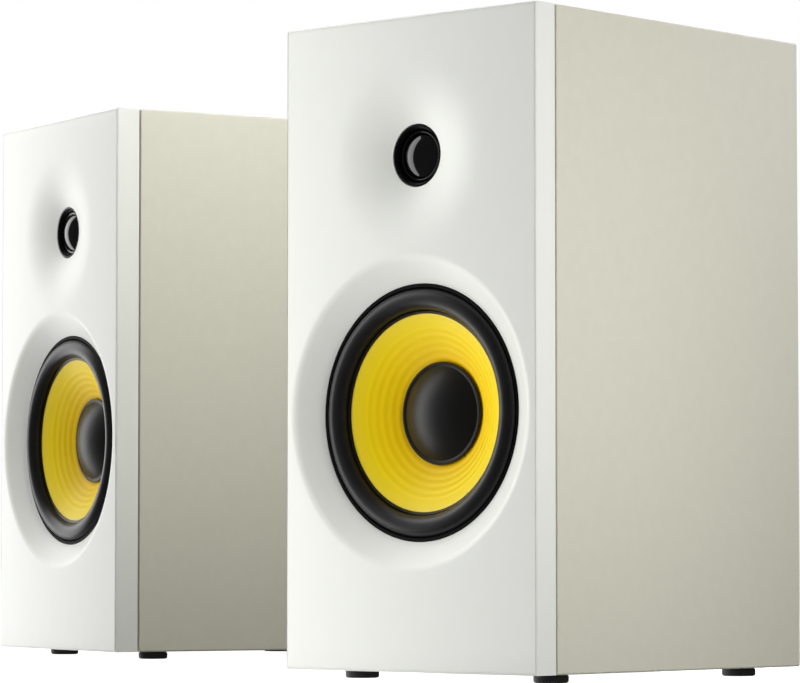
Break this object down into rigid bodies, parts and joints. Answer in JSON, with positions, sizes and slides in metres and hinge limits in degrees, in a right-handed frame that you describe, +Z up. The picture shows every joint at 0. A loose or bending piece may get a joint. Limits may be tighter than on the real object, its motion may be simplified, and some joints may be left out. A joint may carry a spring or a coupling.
{
  "type": "desktop speakers",
  "caption": "Pair of two-way desktop speakers: white baffles with a yellow ribbed woofer and a dome tweeter, beige-grey cabinets, rubber feet, controls at the back.",
  "frame": {"origin": "on the table under the middle of the pair's bounding box", "axes": "+Z up; the active speaker's front faces -Y; +X is the listener's right, from the passive speaker to the active one"},
  "size_m": [0.4653, 0.3176, 0.2434],
  "materials": {
    "white_shell": "satin",
    "beige_wrap": "satin",
    "black_board": "matte",
    "yellow_cone": "satin",
    "black_rubber": "satin",
    "black_fabric": "satin",
    "black_plastic": "satin",
    "red_plastic": "satin",
    "white_plastic": "satin",
    "black_panel": "matte",
    "basket_metal": "satin",
    "plated_steel": "satin",
    "ferrite": "matte",
    "copper_coil": "satin",
    "treated_cloth": "matte",
    "circuit_board": "satin"
  },
  "bodies": {
    "active_speaker": {"active_cabinet_sleeve": "beige_wrap", "active_baffle": "white_shell", "active_rear_board": "black_board", "active_port_tube": "black_plastic", "active_foot_front_left": "black_rubber", "active_foot_front_right": "black_rubber", "active_foot_rear_left": "black_rubber", "active_foot_rear_right": "black_rubber", "active_woofer_basket": "basket_metal", "active_woofer_gasket": "black_rubber", "active_woofer_surround": "black_rubber", "active_woofer_spider": "treated_cloth", "active_woofer_top_plate": "plated_steel", "active_woofer_magnet": "ferrite", "active_woofer_back_plate": "plated_steel", "active_tweeter_face": "black_plastic", "active_tweeter_motor": "plated_steel", "active_terminal_block": "black_plastic", "active_amp_panel": "black_panel", "active_amp_board": "circuit_board", "active_transformer": "plated_steel", "active_input_jack_left": "white_plastic", "active_input_jack_right": "red_plastic", "active_mains_inlet": "black_plastic", "active_switch_frame": "black_plastic"},
    "passive_speaker": {"passive_cabinet_sleeve": "beige_wrap", "passive_baffle": "white_shell", "passive_rear_board": "black_board", "passive_port_tube": "black_plastic", "passive_foot_front_left": "black_rubber", "passive_foot_front_right": "black_rubber", "passive_foot_rear_left": "black_rubber", "passive_foot_rear_right": "black_rubber", "passive_woofer_basket": "basket_metal", "passive_woofer_gasket": "black_rubber", "passive_woofer_surround": "black_rubber", "passive_woofer_spider": "treated_cloth", "passive_woofer_top_plate": "plated_steel", "passive_woofer_magnet": "ferrite", "passive_woofer_back_plate": "plated_steel", "passive_tweeter_face": "black_plastic", "passive_tweeter_motor": "plated_steel", "passive_terminal_block": "black_plastic", "passive_crossover_board": "circuit_board"},
    "active_woofer_cone": {"active_woofer_cone": "yellow_cone", "active_woofer_dust_cap": "black_fabric", "active_woofer_voice_coil": "copper_coil"},
    "active_tweeter_dome": {"active_tweeter_dome": "black_fabric"},
    "active_lever_red": {"active_terminal_lever_red": "red_plastic"},
    "active_lever_black": {"active_terminal_lever_black": "black_plastic"},
    "passive_woofer_cone": {"passive_woofer_cone": "yellow_cone", "passive_woofer_dust_cap": "black_fabric", "passive_woofer_voice_coil": "copper_coil"},
    "passive_tweeter_dome": {"passive_tweeter_dome": "black_fabric"},
    "passive_lever_red": {"passive_terminal_lever_red": "red_plastic"},
    "passive_lever_black": {"passive_terminal_lever_black": "black_plastic"},
    "active_knob_volume": {"active_knob_volume": "black_plastic"},
    "active_knob_bass": {"active_knob_bass": "black_plastic"},
    "active_knob_treble": {"active_knob_treble": "black_plastic"},
    "active_rocker": {"active_switch_rocker": "black_plastic"}
  },
  "joints": [
    {"name": "passive_place", "type": "slide", "parent": "active_speaker", "child": "passive_speaker", "axis": [-1, 0, 0], "range_m": [-0.08, 0.25]},
    {"name": "active_woofer_travel", "type": "slide", "parent": "active_speaker", "child": "active_woofer_cone", "axis": [0, -1, 0], "range_m": [-0.003, 0.003], "stiffness_N_per_m": 800},
    {"name": "active_tweeter_travel", "type": "slide", "parent": "active_speaker", "child": "active_tweeter_dome", "axis": [0, -1, 0], "range_m": [-0.0003, 0.0003], "stiffness_N_per_m": 60},
    {"name": "active_lever_red_press", "type": "hinge", "parent": "active_speaker", "child": "active_lever_red", "pos_m": [0.14376, 0.00348, 0.0962], "axis": [-1, 0, 0], "range_deg": [0, 30], "stiffness_Nm_per_rad": 0.05},
    {"name": "active_lever_black_press", "type": "hinge", "parent": "active_speaker", "child": "active_lever_black", "pos_m": [0.15976, 0.00348, 0.0962], "axis": [-1, 0, 0], "range_deg": [0, 30], "stiffness_Nm_per_rad": 0.05},
    {"name": "passive_woofer_travel", "type": "slide", "parent": "passive_speaker", "child": "passive_woofer_cone", "axis": [-0.309, -0.9511, 0], "range_m": [-0.003, 0.003], "stiffness_N_per_m": 800},
    {"name": "passive_tweeter_travel", "type": "slide", "parent": "passive_speaker", "child": "passive_tweeter_dome", "axis": [-0.309, -0.9511, 0], "range_m": [-0.0003, 0.0003], "stiffness_N_per_m": 60},
    {"name": "passive_lever_red_press", "type": "hinge", "parent": "passive_speaker", "child": "passive_lever_red", "pos_m": [-0.13275, 0.1453, 0.0662], "axis": [-0.9511, 0.309, 0], "range_deg": [0, 30], "stiffness_Nm_per_rad": 0.05},
    {"name": "passive_lever_black_press", "type": "hinge", "parent": "passive_speaker", "child": "passive_lever_black", "pos_m": [-0.11754, 0.14035, 0.0662], "axis": [-0.9511, 0.309, 0], "range_deg": [0, 30], "stiffness_Nm_per_rad": 0.05},
    {"name": "active_knob_volume_turn", "type": "hinge", "parent": "active_speaker", "child": "active_knob_volume", "pos_m": [0.19876, 0.00618, 0.1434], "axis": [0, -1, 0], "range_deg": [0, 300]},
    {"name": "active_knob_bass_turn", "type": "hinge", "parent": "active_speaker", "child": "active_knob_bass", "pos_m": [0.17176, 0.00618, 0.1434], "axis": [0, -1, 0], "range_deg": [-150, 150]},
    {"name": "active_knob_treble_turn", "type": "hinge", "parent": "active_speaker", "child": "active_knob_treble", "pos_m": [0.14476, 0.00618, 0.1434], "axis": [0, -1, 0], "range_deg": [-150, 150]},
    {"name": "active_rocker_tilt", "type": "hinge", "parent": "active_speaker", "child": "active_rocker", "pos_m": [0.14976, -0.00002, 0.0454], "axis": [1, 0, 0], "range_deg": [0, 16]}
  ]
}
